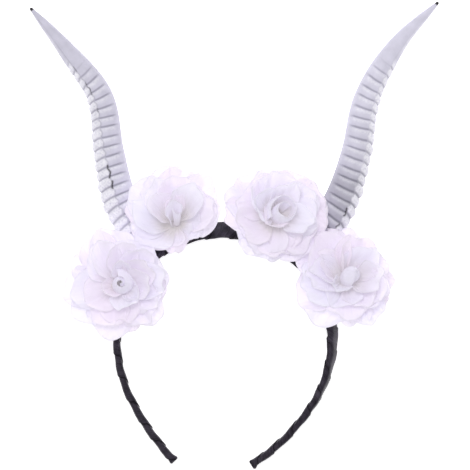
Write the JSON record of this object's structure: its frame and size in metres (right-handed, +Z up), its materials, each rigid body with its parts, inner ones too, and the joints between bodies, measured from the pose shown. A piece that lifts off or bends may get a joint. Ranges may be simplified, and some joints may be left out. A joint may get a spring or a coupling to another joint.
{
  "type": "antler headband",
  "caption": "Ribbon-wound costume headband with a pair of curved, ringed horns and white cloth roses across the crown, lying on its back.",
  "frame": {"origin": "middle of the overall plan, on the surface that the headband lies on", "axes": "+Z up, out of the headband's front; +Y towards the horn tips; +X to the right as seen from the front"},
  "size_m": [0.2368, 0.2702, 0.0495],
  "materials": {
    "ribbon": "black satin ribbon, wound with overlaps",
    "horn": "pale lavender-grey paint over a black moulding",
    "petal": "thin white cloth with soft rolled rims",
    "stem": "plain white plastic"
  },
  "bodies": {
    "root": {"band": "ribbon", "horn_left": "horn", "horn_right": "horn", "rose_upper_left_stem": "stem", "rose_upper_left_outer_petals": "petal", "rose_upper_left_middle_petals": "petal", "rose_upper_left_inner_petals": "petal", "rose_upper_left_heart_petals": "petal", "rose_upper_left_bud": "petal", "rose_upper_right_stem": "stem", "rose_upper_right_outer_petals": "petal", "rose_upper_right_middle_petals": "petal", "rose_upper_right_inner_petals": "petal", "rose_upper_right_heart_petals": "petal", "rose_upper_right_bud": "petal", "rose_lower_left_stem": "stem", "rose_lower_left_outer_petals": "petal", "rose_lower_left_middle_petals": "petal", "rose_lower_left_inner_petals": "petal", "rose_lower_left_heart_petals": "petal", "rose_lower_left_bud": "petal", "rose_lower_right_stem": "stem", "rose_lower_right_outer_petals": "petal", "rose_lower_right_middle_petals": "petal", "rose_lower_right_inner_petals": "petal", "rose_lower_right_heart_petals": "petal", "rose_lower_right_bud": "petal"}
  },
  "joints": []
}
